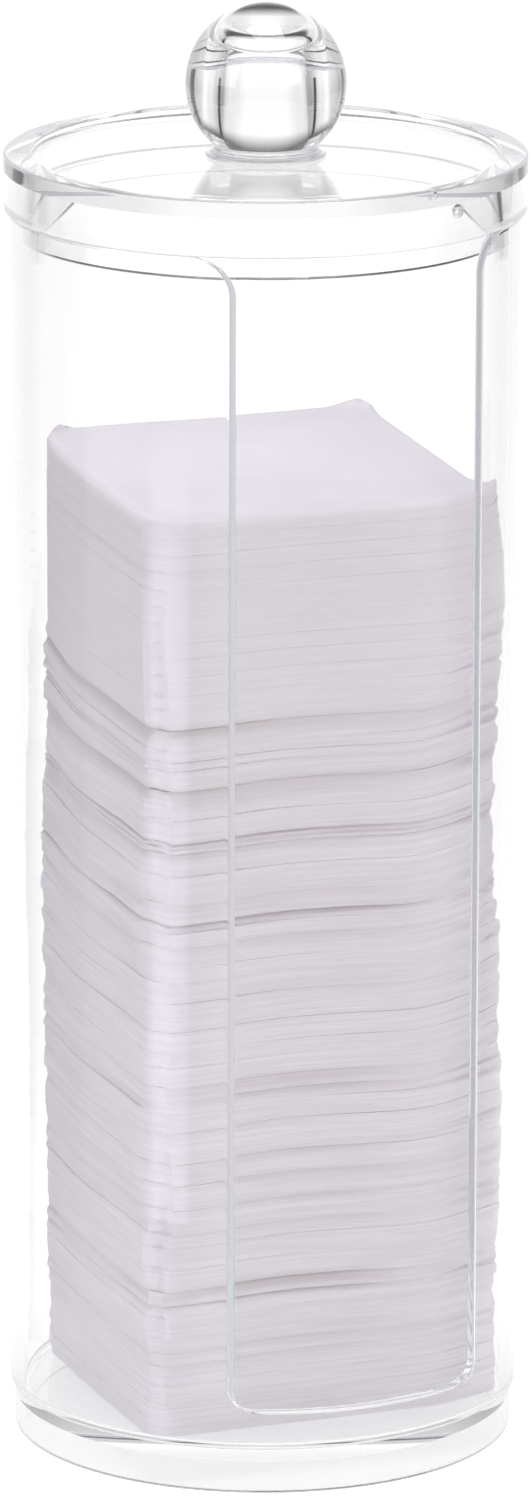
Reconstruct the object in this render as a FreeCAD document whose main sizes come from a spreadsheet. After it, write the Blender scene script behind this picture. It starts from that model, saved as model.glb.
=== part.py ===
import FreeCAD, Part
import os
import Sketcher

# Round cotton pad holder of clear moulded plastic: an open-topped tube on a set-in
# foot with a wide dispensing slot in its front wall, a plug lid with a hollow ball
# knob cemented over a spigot on it, and a stack of square cotton pads.
# Millimetres, Z up.  The origin is the centre of the foot's underside, and the slot
# faces -Y.

DIMENSIONS = {
    # container: tube, foot and floor
    "tube_radius": 38.5,
    "tube_wall": 2.0,
    "tube_top": 188.4,
    "tube_edge_round": 0.5,
    "foot_height": 7.0,
    "foot_inset": 0.7,
    "foot_hollow": 4.6,
    "foot_edge_round": 0.4,
    "floor_thick": 2.6,
    "floor_round": 0.8,
    # dispensing slot, open at the rim
    "slot_width": 39.5,
    "slot_sill": 13.0,
    "slot_sill_round": 3.0,
    "slot_mouth_round": 6.0,
    # lid: flange ring, raised lip, thin plate, plug and the knob's spigot
    "flange_overhang": 0.5,
    "flange_height": 8.5,
    "flange_edge_round": 0.4,
    "lip_width": 4.2,
    "lip_rise": 0.6,
    "plate_thick": 2.7,
    "plug_clearance": 0.3,
    "plug_depth": 3.7,
    "plug_wall": 1.6,
    "plug_edge_round": 0.3,
    "spigot_height": 2.1,
    "spigot_clearance": 0.1,
    # ball knob: ball, thin ring at its base and a blind core from below
    "ball_radius": 12.0,
    "ball_lift": 10.8,
    "ring_radius": 9.0,
    "ring_height": 0.5,
    "ring_blend": 0.8,
    "core_radius": 6.3,
    "core_depth": 18.0,
    "core_round": 2.2,
    # cotton pads
    "pad_width": 55.0,
    "pad_depth": 52.0,
    "pad_thick": 2.6,
    "pad_clearance": 0.1,
    "pad_set_back": 1.0,
    "pad_turn": -3.0,
    "pad_count": 54,
}

# Places that more than one piece is built to, written once.
FOOT_RADIUS = "(Sizes.tube_radius - Sizes.foot_inset)"
BORE_RADIUS = "(Sizes.tube_radius - Sizes.tube_wall)"
FLOOR_TOP = "(Sizes.foot_hollow + Sizes.floor_thick)"
LID_RADIUS = "(Sizes.tube_radius + Sizes.flange_overhang)"
PLUG_RADIUS = "(Sizes.tube_radius - Sizes.tube_wall - Sizes.plug_clearance)"
PLATE_TOP = "(Sizes.flange_height - Sizes.lip_rise)"
SPIGOT_RADIUS = "(Sizes.core_radius - Sizes.spigot_clearance)"
PAD_BOUND = "(Sizes.tube_radius - Sizes.tube_wall - Sizes.floor_round - Sizes.pad_clearance)"

NEAR = 0.01


def make_sheet(doc):
    """Give each driving dimension a sheet cell whose alias is its name."""
    sheet = doc.addObject("Spreadsheet::Sheet", "Sizes")
    for row, (name, value) in enumerate(DIMENSIONS.items(), start=1):
        sheet.set("A%d" % row, name)
        sheet.set("B%d" % row, str(value))
        sheet.setAlias("B%d" % row, name)
    doc.recompute()
    return sheet


def make_body(doc, name):
    body = doc.addObject("PartDesign::Body", name)
    body.Label = name
    return body


def origin_feature(body, role):
    for feature in body.Origin.OriginFeatures:
        if feature.Role == role:
            return feature
    raise RuntimeError("%s has no origin feature %s" % (body.Label, role))


def outline_sketch(body, name, role, corners):
    """Closed straight-sided outline on an origin plane; each corner is a pair of
    expressions, measured from the plane's origin."""
    sketch = body.newObject("Sketcher::SketchObject", name)
    sketch.AttachmentSupport = (origin_feature(body, role), "")
    sketch.MapMode = "FlatFace"
    count = len(corners)
    for index in range(count):
        start = FreeCAD.Vector(index, index * index, 0)
        end = FreeCAD.Vector(index + 1, (index + 1) ** 2, 0)
        if index == count - 1:
            end = FreeCAD.Vector(0, 0, 0)
        sketch.addGeometry(Part.LineSegment(start, end), False)
    for index in range(count):
        following = (index + 1) % count
        sketch.addConstraint(Sketcher.Constraint("Coincident", index, 2, following, 1))
    for index, (across, along) in enumerate(corners):
        for kind, size in (("DistanceX", across), ("DistanceY", along)):
            place = sketch.addConstraint(Sketcher.Constraint(kind, -1, 1, index, 1, 1.0))
            constraint = "%s%d" % (kind[-1], index)
            sketch.renameConstraint(place, constraint)
            sketch.setExpression("Constraints." + constraint, size)
    return sketch


def turn(body, kind, name, sketch):
    """Full turn of an outline about Z: kind is Revolution to add, Groove to cut."""
    base = body.Tip
    turned = body.newObject("PartDesign::" + kind, name)
    turned.Profile = sketch
    turned.ReferenceAxis = (sketch, ["V_Axis"])
    turned.Angle = 360.0
    body.Document.recompute()
    if kind == "Groove" and turned.Shape.Volume > base.Shape.Volume - 1:
        raise RuntimeError("%s cuts nothing" % name)
    return turned


def circle_edges(shape, radius, height):
    """Names of the full circles of one radius about Z at one height."""
    found = []
    for index, edge in enumerate(shape.Edges, start=1):
        if edge.Degenerated or not isinstance(edge.Curve, Part.Circle):
            continue
        circle = edge.Curve
        if abs(circle.Radius - radius) < NEAR and abs(circle.Center.z - height) < NEAR:
            found.append("Edge%d" % index)
    return found


def slot_edges(shape, half_width, height):
    """Names of the straight edges that run through the wall at the slot's corners."""
    found = []
    for index, edge in enumerate(shape.Edges, start=1):
        if not isinstance(edge.Curve, Part.Line):
            continue
        middle = edge.CenterOfMass
        across = abs(abs(middle.x) - half_width) < NEAR
        if across and abs(middle.z - height) < NEAR and middle.y < 0:
            found.append("Edge%d" % index)
    return found


def fillet(body, base, name, edges, radius):
    if not edges:
        raise RuntimeError("%s finds no edge" % name)
    rounded = body.newObject("PartDesign::Fillet", name)
    rounded.Base = (base, edges)
    rounded.setExpression("Radius", radius)
    body.Document.recompute()
    return rounded


def make_container(doc, sheet):
    """Tube, floor and hollow foot in one moulding, its wide slot open at the rim.  The
    slot is rounded while the blank is solid, then the bore opens it to the inside."""
    body = make_body(doc, "container_body")
    blank = turn(body, "Revolution", "outer_form", outline_sketch(
        body, "outer_profile", "XZ_Plane", [
            ("0", "0"),
            (FOOT_RADIUS, "0"),
            (FOOT_RADIUS, "Sizes.foot_height"),
            ("Sizes.tube_radius", "Sizes.foot_height"),
            ("Sizes.tube_radius", "Sizes.tube_top"),
            ("0", "Sizes.tube_top"),
        ]))

    half_slot = "Sizes.slot_width / 2"
    above_rim = "Sizes.tube_top + Sizes.slot_sill"
    slot = body.newObject("PartDesign::Pocket", "slot")
    slot.Profile = outline_sketch(body, "slot_outline", "XZ_Plane", [
        ("-" + half_slot, "Sizes.slot_sill"),
        (half_slot, "Sizes.slot_sill"),
        (half_slot, above_rim),
        ("-" + half_slot, above_rim),
    ])
    slot.Type = "Length"
    slot.Reversed = True
    slot.setExpression("Length", "2 * Sizes.tube_radius")
    doc.recompute()
    if slot.Shape.Volume > blank.Shape.Volume - 1 or slot.Shape.CenterOfGravity.y < 0:
        raise RuntimeError("the slot isn't cut through the front wall")
    half_width = sheet.slot_width / 2
    slot = fillet(body, slot, "slot_sill_corners",
                  slot_edges(slot.Shape, half_width, sheet.slot_sill),
                  "Sizes.slot_sill_round")
    slot = fillet(body, slot, "slot_mouth_corners",
                  slot_edges(slot.Shape, half_width, sheet.tube_top),
                  "Sizes.slot_mouth_round")

    turn(body, "Groove", "bore", outline_sketch(
        body, "bore_profile", "XZ_Plane", [
            ("0", FLOOR_TOP),
            (BORE_RADIUS, FLOOR_TOP),
            (BORE_RADIUS, above_rim),
            ("0", above_rim),
        ]))
    foot_inner = "%s - Sizes.tube_wall" % FOOT_RADIUS
    tube = turn(body, "Groove", "foot_hollow", outline_sketch(
        body, "foot_hollow_profile", "XZ_Plane", [
            ("0", "-Sizes.foot_hollow"),
            (foot_inner, "-Sizes.foot_hollow"),
            (foot_inner, "Sizes.foot_hollow"),
            ("0", "Sizes.foot_hollow"),
        ]))

    foot_radius = sheet.tube_radius - sheet.foot_inset
    bore_radius = sheet.tube_radius - sheet.tube_wall
    tube = fillet(body, tube, "tube_lower_edge",
                  circle_edges(tube.Shape, sheet.tube_radius, sheet.foot_height),
                  "Sizes.tube_edge_round")
    tube = fillet(body, tube, "foot_edges",
                  circle_edges(tube.Shape, foot_radius, 0)
                  + circle_edges(tube.Shape, foot_radius - sheet.tube_wall, 0),
                  "Sizes.foot_edge_round")
    fillet(body, tube, "floor_corner",
           circle_edges(tube.Shape, bore_radius, sheet.foot_hollow + sheet.floor_thick),
           "Sizes.floor_round")
    return body


def make_lid(doc, sheet):
    """Plate with a raised lip, a thick flange that rests on the tube's rim, a plug that
    drops inside it and a spigot that centres the knob.  Its own origin is the seat on
    the rim."""
    body = make_body(doc, "lid")
    body.setExpression(".Placement.Base.z", "Sizes.tube_top")
    plug_inner = "%s - Sizes.plug_wall" % PLUG_RADIUS
    plate_bottom = "%s - Sizes.plate_thick" % PLATE_TOP
    lip_inner = "%s - Sizes.lip_width" % LID_RADIUS
    cap = turn(body, "Revolution", "lid_form", outline_sketch(
        body, "lid_profile", "XZ_Plane", [
            ("0", plate_bottom),
            (plug_inner, plate_bottom),
            (plug_inner, "-Sizes.plug_depth"),
            (PLUG_RADIUS, "-Sizes.plug_depth"),
            (PLUG_RADIUS, "0"),
            (LID_RADIUS, "0"),
            (LID_RADIUS, "Sizes.flange_height"),
            (lip_inner, "Sizes.flange_height"),
            (lip_inner, PLATE_TOP),
            (SPIGOT_RADIUS, PLATE_TOP),
            (SPIGOT_RADIUS, PLATE_TOP + " + Sizes.spigot_height"),
            ("0", PLATE_TOP + " + Sizes.spigot_height"),
        ]))

    lid_radius = sheet.tube_radius + sheet.flange_overhang
    plug_radius = sheet.tube_radius - sheet.tube_wall - sheet.plug_clearance
    cap = fillet(body, cap, "flange_edges",
                 circle_edges(cap.Shape, lid_radius, sheet.flange_height)
                 + circle_edges(cap.Shape, lid_radius, 0),
                 "Sizes.flange_edge_round")
    cap = fillet(body, cap, "plug_edges",
                 circle_edges(cap.Shape, plug_radius, -sheet.plug_depth)
                 + circle_edges(cap.Shape, plug_radius - sheet.plug_wall, -sheet.plug_depth),
                 "Sizes.plug_edge_round")
    fillet(body, cap, "lip_edge",
           circle_edges(cap.Shape, lid_radius - sheet.lip_width, sheet.flange_height),
           "Sizes.lip_rise / 2")
    return body


def make_knob(doc, sheet):
    """Ball on a thin ring with a domed blind core, cemented over the lid's spigot.  Its
    own origin is the centre of the cemented face."""
    body = make_body(doc, "ball_knob")
    body.setExpression(".Placement.Base.z", "Sizes.tube_top + " + PLATE_TOP)

    ring = body.newObject("PartDesign::AdditiveCylinder", "base_ring")
    ring.setExpression("Radius", "Sizes.ring_radius")
    ring.setExpression("Height", "Sizes.ring_height")
    ball = body.newObject("PartDesign::AdditiveSphere", "ball")
    ball.setExpression("Radius", "Sizes.ball_radius")
    ball.setExpression(".Placement.Base.z", "Sizes.ball_lift")
    ball.setExpression("Angle1", "-asin(Sizes.ball_lift / Sizes.ball_radius)")
    doc.recompute()

    above_ring = sheet.ball_lift - sheet.ring_height
    crease_radius = (sheet.ball_radius ** 2 - above_ring ** 2) ** 0.5
    knob = fillet(body, ball, "ring_blend",
                  circle_edges(ball.Shape, crease_radius, sheet.ring_height),
                  "Sizes.ring_blend")

    solid_volume = knob.Shape.Volume
    core = body.newObject("PartDesign::SubtractiveCylinder", "core")
    core.setExpression("Radius", "Sizes.core_radius")
    core.setExpression("Height", "Sizes.core_depth")
    doc.recompute()
    if core.Shape.Volume > 0.95 * solid_volume:
        raise RuntimeError("the knob's core cuts nothing")
    fillet(body, core, "core_dome",
           circle_edges(core.Shape, sheet.core_radius, sheet.core_depth),
           "Sizes.core_round")
    return body


def make_pad(doc, number):
    """One pad of the stack, counted from the floor, its corners kept inside the tube's
    bore.  The stack sits set back from the slot and a few degrees askew to it, as put
    in by hand."""
    height = "%s + %d * Sizes.pad_thick" % (FLOOR_TOP, number - 1)
    blank = doc.addObject("Part::Box", "pad_blank_%02d" % number)
    blank.setExpression("Length", "Sizes.pad_width")
    blank.setExpression("Width", "Sizes.pad_depth")
    blank.setExpression("Height", "Sizes.pad_thick")
    blank.setExpression(".Placement.Base.x", "-Sizes.pad_width / 2")
    blank.setExpression(".Placement.Base.y", "Sizes.pad_set_back - Sizes.pad_depth / 2")
    blank.setExpression(".Placement.Base.z", height)
    bound = doc.addObject("Part::Cylinder", "pad_bound_%02d" % number)
    bound.setExpression("Radius", PAD_BOUND)
    bound.setExpression("Height", "Sizes.pad_thick")
    bound.setExpression(".Placement.Base.z", height)
    pad = doc.addObject("Part::Common", "pad_%02d" % number)
    pad.Base = blank
    pad.Tool = bound
    pad.setExpression(".Placement.Rotation.Angle", "Sizes.pad_turn")
    pad.Label = "pad_%02d" % number
    return pad


def check(doc, pieces):
    """Stop before anything is written if a feature failed or a piece isn't sound."""
    for item in doc.Objects:
        if "Invalid" in item.State or "Error" in item.State:
            raise RuntimeError("%s failed: %s" % (item.Label, item.State))
    for piece in pieces:
        shape = piece.Shape
        if shape.isNull() or not shape.isValid() or len(shape.Solids) != 1:
            raise RuntimeError("%s isn't one valid solid" % piece.Label)


def main():
    doc = FreeCAD.newDocument("cotton_pad_holder")
    sheet = make_sheet(doc)
    pieces = [make_container(doc, sheet), make_lid(doc, sheet), make_knob(doc, sheet)]
    for number in range(1, int(sheet.pad_count) + 1):
        pieces.append(make_pad(doc, number))
    doc.recompute()
    check(doc, pieces)

    os.makedirs("parts", exist_ok=True)
    for piece in pieces:
        piece.Shape.exportStep("parts/%s.step" % piece.Label)
        box = piece.Shape.BoundBox
        print(piece.Label, "volume %.1f" % piece.Shape.Volume,
              "z %.2f to %.2f" % (box.ZMin, box.ZMax))


main()
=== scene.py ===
import math

import bmesh
import bpy
from mathutils import Matrix, Vector


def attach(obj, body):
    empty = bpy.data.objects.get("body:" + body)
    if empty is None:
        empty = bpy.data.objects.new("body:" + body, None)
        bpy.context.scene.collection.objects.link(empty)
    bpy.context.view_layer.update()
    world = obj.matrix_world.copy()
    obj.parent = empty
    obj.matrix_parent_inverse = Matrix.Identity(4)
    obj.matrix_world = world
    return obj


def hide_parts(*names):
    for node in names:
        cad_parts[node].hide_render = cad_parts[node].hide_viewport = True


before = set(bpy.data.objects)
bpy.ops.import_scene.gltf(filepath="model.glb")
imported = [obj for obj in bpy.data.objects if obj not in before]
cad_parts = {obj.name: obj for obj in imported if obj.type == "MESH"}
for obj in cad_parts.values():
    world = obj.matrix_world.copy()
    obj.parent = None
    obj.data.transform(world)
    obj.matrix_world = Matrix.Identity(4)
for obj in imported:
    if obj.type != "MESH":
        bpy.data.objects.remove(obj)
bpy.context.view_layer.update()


# ---------------------------------------------------------------------------
# Container: tube, floor and hollow foot in one injection moulding of clear
# acrylic.  The wide slot in its front is open at the rim.  The foot is set in by
# 0.7 mm, so that the tube ends in a small step above it.
MM = 0.001
TUBE_OUTER, TUBE_INNER, STEP_ROUND = 38.5, 36.5, 0.5
FOOT_OUTER, FOOT_INNER, FOOT_HEIGHT, FOOT_ROUND = 37.8, 35.8, 7.0, 0.4
FOOT_HOLLOW, FLOOR_TOP, FLOOR_ROUND = 4.6, 7.2, 0.8
DISC_RINGS = (30, 20, 10, 2)
SILL, RIM = 13.0, 188.4
SLOT_HALF, SILL_ROUND, MOUTH_ROUND, EDGE_ROUND = 19.75, 3.0, 6.0, 0.45
WALL_ROWS, BACK_COLUMNS, SLOT_COLUMNS, MOUTH_COLUMNS = 90, 300, 44, 6
# how much of the slot's side, counted in rows, each of its two rounds takes
ROUND_SHARE = 0.15


def arc(centre_r, centre_z, radius, start, end, steps):
    """Profile points (r, z) on a circular arc between two angles in degrees."""
    points = []
    for step in range(steps + 1):
        angle = math.radians(start + (end - start) * step / steps)
        points.append((centre_r + radius * math.cos(angle),
                       centre_z + radius * math.sin(angle)))
    return points


def slot_side(part):
    """(x, z) down the slot's right edge for part 0 (sill) to 1 (halfway round the
    mouth's round), closer together on the two rounds."""
    if part < ROUND_SHARE:
        turn = math.radians(90 * part / ROUND_SHARE)
        return (SLOT_HALF - SILL_ROUND * (1 - math.sin(turn)),
                SILL + SILL_ROUND * (1 - math.cos(turn)))
    if part < 1 - ROUND_SHARE:
        low, high = SILL + SILL_ROUND, RIM - MOUTH_ROUND
        straight = (part - ROUND_SHARE) / (1 - 2 * ROUND_SHARE)
        return SLOT_HALF, low + (high - low) * straight
    turn = math.radians(45 * (part - 1 + ROUND_SHARE) / ROUND_SHARE)
    return (SLOT_HALF + MOUTH_ROUND * (1 - math.cos(turn)),
            RIM - MOUTH_ROUND * (1 - math.sin(turn)))


def wall_grid(radius, rows):
    """The slotted wall at one radius: rows of points that go round the back from
    the slot's right edge to its left one, from the sill up to the rim."""
    top = []
    for column in range(MOUTH_COLUMNS):
        turn = math.radians(45 * (1 + column / MOUTH_COLUMNS))
        top.append((math.asin((SLOT_HALF + MOUTH_ROUND * (1 - math.cos(turn))) / radius),
                    RIM - MOUTH_ROUND * (1 - math.sin(turn))))
    mouth_end = math.asin((SLOT_HALF + MOUTH_ROUND) / radius)
    middle = BACK_COLUMNS - 2 * MOUTH_COLUMNS
    for column in range(middle + 1):
        top.append((mouth_end + (2 * math.pi - 2 * mouth_end) * column / middle, RIM))
    top += [(2 * math.pi - angle, height) for angle, height in reversed(top[:MOUTH_COLUMNS])]
    sill_end = math.asin((SLOT_HALF - SILL_ROUND) / radius)
    grid = []
    for row in range(rows + 1):
        v = row / rows
        x, height = slot_side(v)
        edge = math.asin(x / radius)
        points = []
        for column, (top_angle, top_height) in enumerate(top):
            u = column / BACK_COLUMNS
            low_angle = sill_end + (2 * math.pi - 2 * sill_end) * u
            side_angle = edge + (2 * math.pi - 2 * edge) * u
            corner = ((1 - v) * sill_end + v * top[0][0]) * (1 - 2 * u) + 2 * math.pi * u
            angle = (1 - v) * low_angle + v * top_angle + side_angle - corner
            corner_height = (1 - v) * SILL + v * top[0][1]
            level = (1 - v) * SILL + v * top_height + height - corner_height
            points.append((radius * math.sin(angle), -radius * math.cos(angle), level))
        grid.append(points)
    return grid


def full_ring(radius, height, slot_radius):
    """One closed ring in the same columns as the wall, then across under the slot."""
    end = math.asin((SLOT_HALF - SILL_ROUND) / slot_radius)
    points = []
    for column in range(BACK_COLUMNS + 1):
        angle = end + (2 * math.pi - 2 * end) * column / BACK_COLUMNS
        points.append((radius * math.sin(angle), -radius * math.cos(angle), height))
    for column in range(1, SLOT_COLUMNS):
        across = (SLOT_HALF - SILL_ROUND) * (2 * column / SLOT_COLUMNS - 1)
        angle = math.asin(across / slot_radius)
        points.append((radius * math.sin(angle), -radius * math.cos(angle), height))
    return points


def container_mesh():
    """The outer and the inner skin of the moulding, joined along the slot and the rim.
    The edges to be rounded carry a bevel weight."""
    outside = arc(TUBE_OUTER - STEP_ROUND, FOOT_HEIGHT + STEP_ROUND, STEP_ROUND, 0, -90, 5)
    outside += [(FOOT_OUTER, FOOT_HEIGHT)]
    outside += arc(FOOT_OUTER - FOOT_ROUND, FOOT_ROUND, FOOT_ROUND, 0, -90, 5)
    outside += arc(FOOT_INNER + FOOT_ROUND, FOOT_ROUND, FOOT_ROUND, -90, -180, 5)
    outside += [(radius, FOOT_HOLLOW) for radius in (FOOT_INNER,) + DISC_RINGS]
    inside = arc(TUBE_INNER - FLOOR_ROUND, FLOOR_TOP + FLOOR_ROUND, FLOOR_ROUND, 0, -90, 8)
    inside += [(radius, FLOOR_TOP) for radius in DISC_RINGS]
    form = bmesh.new()
    bevels = form.edges.layers.float.new("bevel_weight_edge")

    def plant(points):
        return [form.verts.new(Vector(point) * MM) for point in points]

    walls = []
    for radius, profile in ((TUBE_OUTER, outside), (TUBE_INNER, inside)):
        grid = wall_grid(radius, WALL_ROWS)
        rings = [plant(full_ring(radius, SILL, radius))]
        rings += [plant(full_ring(r, z, radius)) for r, z in profile]
        rows = [rings[0][:BACK_COLUMNS + 1]] + [plant(points) for points in grid[1:]]
        for above, below in zip(rings, rings[1:]):
            for column in range(len(above)):
                after = (column + 1) % len(above)
                form.faces.new((above[column], above[after], below[after], below[column]))
        form.faces.new(rings[-1])
        for below, above in zip(rows, rows[1:]):
            for column in range(BACK_COLUMNS):
                form.faces.new((below[column], below[column + 1],
                                above[column + 1], above[column]))
        rim = rows[-1]
        left = [row[-1] for row in rows[::-1]]
        sill = rings[0][BACK_COLUMNS + 1:]
        right = [row[0] for row in rows[:-1]]
        walls.append(rim + left[1:] + sill + right)
    outer, inner = walls
    for place in range(len(outer)):
        after = (place + 1) % len(outer)
        form.faces.new((outer[place], outer[after], inner[after], inner[place]))
    for loop in (outer, inner):
        for place in range(len(loop)):
            edge = form.edges.get((loop[place], loop[(place + 1) % len(loop)]))
            edge[bevels] = 1.0
    bmesh.ops.recalc_face_normals(form, faces=form.faces)
    mesh = bpy.data.meshes.new("container_shell")
    form.to_mesh(mesh)
    form.free()
    return mesh


def show(name, mesh, material):
    """Put a mesh in the scene under a piece's name, in one material."""
    piece = bpy.data.objects.new(name, mesh)
    bpy.context.scene.collection.objects.link(piece)
    mesh.materials.clear()
    mesh.materials.append(material)
    return piece


def keep_evaluated(piece):
    """Turn the piece's modifiers into plain mesh."""
    graph = bpy.context.evaluated_depsgraph_get()
    mesh = bpy.data.meshes.new_from_object(piece.evaluated_get(graph))
    piece.modifiers.clear()
    piece.data = mesh


def smooth(mesh, angle, radii=()):
    """Smooth shading up to an angle, and true radial normals on walls of the given
    radii, so that the wall's image bends as through a real cylinder."""
    mesh.shade_smooth()
    mesh.set_sharp_from_angle(angle=math.radians(angle))
    if not radii:
        return
    normals = [Vector(corner.vector) for corner in mesh.corner_normals]
    for face in mesh.polygons:
        for corner in face.loop_indices:
            place = mesh.vertices[mesh.loops[corner].vertex_index].co
            radial = Vector((place.x, place.y, 0))
            distance = radial.length / MM
            radial.normalize()
            for radius in radii:
                if abs(distance - radius) < 0.01 and abs(face.normal.dot(radial)) > 0.99:
                    normals[corner] = radial * math.copysign(1, face.normal.dot(radial))
    mesh.normals_split_custom_set(normals)


def add(tree, kind, inputs=(), stops=(), **settings):
    """A new node.  An input given as a node or a socket is linked and any other is set.
    Stops are the places and colours of a colour ramp."""
    node = tree.nodes.new(kind)
    for name, value in settings.items():
        setattr(node, name, value)
    for name, value in dict(inputs).items():
        if isinstance(value, bpy.types.Node):
            value = value.outputs[0]
        if isinstance(value, bpy.types.NodeSocket):
            tree.links.new(value, node.inputs[name])
        else:
            node.inputs[name].default_value = value
    for count, (place, color) in enumerate(stops):
        if count > 1:
            node.color_ramp.elements.new(place)
        node.color_ramp.elements[count].position = place
        node.color_ramp.elements[count].color = color
    return node


def linear(code):
    """sRGB hex to a linear colour."""
    channels = [int(code[i:i + 2], 16) / 255 for i in (1, 3, 5)]
    return tuple(c / 12.92 if c <= 0.04045 else ((c + 0.055) / 1.055) ** 2.4
                 for c in channels) + (1.0,)


# Acrylic from a polished mould: colourless, almost without haze, a trace of grey
# where the light runs along a thick edge.  Past ten bounces in the wall the light is
# cut off and a painted glow, an even pale grey, shows in its place at the slot's
# edges.  Shadow rays pass, as light does.
MANY_BOUNCES = 10.5
acrylic = bpy.data.materials.new("clear_acrylic_moulded")
acrylic.use_nodes = True
tree = acrylic.node_tree
tree.nodes.clear()
body = add(tree, "ShaderNodeBsdfPrincipled", {
    "Base Color": linear("#FFFFFF"), "Roughness": 0.0, "IOR": 1.49,
    "Transmission Weight": 1.0})
clear = add(tree, "ShaderNodeBsdfTransparent", {"Color": linear("#FAFAFC")})
rays = add(tree, "ShaderNodeLightPath").outputs
passing = add(tree, "ShaderNodeMixShader", {0: rays["Is Shadow Ray"], 1: body, 2: clear})
caught = add(tree, "ShaderNodeMath", {0: rays["Ray Depth"], 1: MANY_BOUNCES},
             operation="GREATER_THAN")
# painted glow: a fixed pale-grey emission wherever a ray has bounced more than ten times
spread = add(tree, "ShaderNodeEmission", {"Color": linear("#D6D7DC"), "Strength": 1.0})
passing = add(tree, "ShaderNodeMixShader", {0: caught, 1: passing, 2: spread})
haze = add(tree, "ShaderNodeVolumeAbsorption", {"Color": linear("#C9CACE"), "Density": 4.0})
add(tree, "ShaderNodeOutputMaterial", {"Surface": passing, "Volume": haze})

container_shell = show("container_shell", container_mesh(), acrylic)
rounding = container_shell.modifiers.new("edge_rounds", "BEVEL")
rounding.limit_method = "WEIGHT"
rounding.width = EDGE_ROUND * MM
rounding.segments = 3
rounding.use_clamp_overlap = False
keep_evaluated(container_shell)
smooth(container_shell.data, 35, (TUBE_OUTER, TUBE_INNER))
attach(container_shell, "container")
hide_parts("container_body")


# ---------------------------------------------------------------------------
# Lid: one moulding of the same clear acrylic.  A thick flange ring sits on the
# rim, a low lip stands round a thinner plate, and a plug drops into the bore.
# The Blender pieces are set a few hundredths of a millimetre apart where they rest on
# one another, so that two faces never share a plane.
SEAT = RIM + 0.03
PLATE_UNDER, PLATE_TOP, PLATE_RING = 193.6, 196.3, 20
FLANGE_RADIUS, FLANGE_ROUND = 39.0, 0.4
LIP_INNER, LIP_TOP, LIP_ROUND = 34.8, 196.9, 0.3
PLUG_OUTER, PLUG_INNER, PLUG_BOTTOM, PLUG_EDGE = 36.2, 34.6, 184.7, 0.3
# air caught in the flange: centre and radius
BUBBLES = (((14.4, -34.4, 193.0), 1.1), ((10.1, -36.3, 195.9), 0.5),
           ((9.1, -36.7, 195.6), 0.3))


def lathe(name, profile, segments=256):
    """Closed body turned from an (r, z) profile in millimetres, ends on the axis."""
    form = bmesh.new()
    rings = []
    for radius, height in profile:
        if radius < 1e-6:
            rings.append([form.verts.new((0, 0, height * MM))])
            continue
        rings.append([form.verts.new((radius * MM * math.sin(2 * math.pi * s / segments),
                                      -radius * MM * math.cos(2 * math.pi * s / segments),
                                      height * MM)) for s in range(segments)])
    for first, second in zip(rings, rings[1:]):
        for s in range(segments):
            t = (s + 1) % segments
            corners = [first[0]] if len(first) == 1 else [first[s], first[t]]
            corners += [second[0]] if len(second) == 1 else [second[t], second[s]]
            form.faces.new(corners)
    bmesh.ops.recalc_face_normals(form, faces=form.faces)
    mesh = bpy.data.meshes.new(name)
    form.to_mesh(mesh)
    form.free()
    return mesh


lid_profile = [(0, PLATE_UNDER), (PLATE_RING, PLATE_UNDER), (PLUG_INNER, PLATE_UNDER)]
lid_profile += [(PLUG_INNER, PLUG_BOTTOM + PLUG_EDGE), (PLUG_INNER + PLUG_EDGE, PLUG_BOTTOM)]
lid_profile += arc(PLUG_OUTER - PLUG_EDGE, PLUG_BOTTOM + PLUG_EDGE, PLUG_EDGE, -90, 0, 5)
lid_profile += [(PLUG_OUTER, SEAT)]
flange_turn = FLANGE_RADIUS - FLANGE_ROUND
lid_profile += arc(flange_turn, SEAT + FLANGE_ROUND, FLANGE_ROUND, -90, 0, 5)
lid_profile += arc(flange_turn, LIP_TOP - FLANGE_ROUND, FLANGE_ROUND, 0, 90, 5)
lid_profile += arc(LIP_INNER + LIP_ROUND, LIP_TOP - LIP_ROUND, LIP_ROUND, 90, 180, 4)
lid_profile += [(LIP_INNER, PLATE_TOP), (PLATE_RING, PLATE_TOP), (0, PLATE_TOP)]
clear_lid = show("clear_lid", lathe("clear_lid", lid_profile, 300), acrylic)
form = bmesh.new()
form.from_mesh(clear_lid.data)
for place, radius in BUBBLES:
    where = Matrix.Translation(Vector(place) * MM)
    air = bmesh.ops.create_icosphere(form, subdivisions=3, radius=radius * MM, matrix=where)
    inner = {face for vert in air["verts"] for face in vert.link_faces}
    bmesh.ops.reverse_faces(form, faces=list(inner))
form.to_mesh(clear_lid.data)
form.free()
smooth(clear_lid.data, 35)
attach(clear_lid, "lid")
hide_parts("lid")


# ---------------------------------------------------------------------------
# Ball knob: a clear ball on a thin ring, moulded hollow and cemented over a spigot
# on the lid's plate.  The cement fills the joint, so the core ends at the spigot's
# top, 2.1 mm above the plate, and the spigot's side can't be seen.
BALL_HEIGHT, BALL_RADIUS = 207.1, 12.0
RING_TOP, RING_RADIUS, RING_ROUND, RING_BLEND = 196.8, 9.0, 0.2, 0.8
CORE_RADIUS, CORE_ROUND, CORE_TOP = 6.3, 2.2, 214.3
CORE_BOTTOM, SPIGOT_ROUND = 198.4, 0.3
knob_base = PLATE_TOP + 0.02
blend_height = RING_TOP + RING_BLEND
blend_radius = math.sqrt((BALL_RADIUS + RING_BLEND) ** 2 - (BALL_HEIGHT - blend_height) ** 2)
lean = math.degrees(math.atan2(BALL_HEIGHT - blend_height, blend_radius))
ring_turn = RING_RADIUS - RING_ROUND
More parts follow.
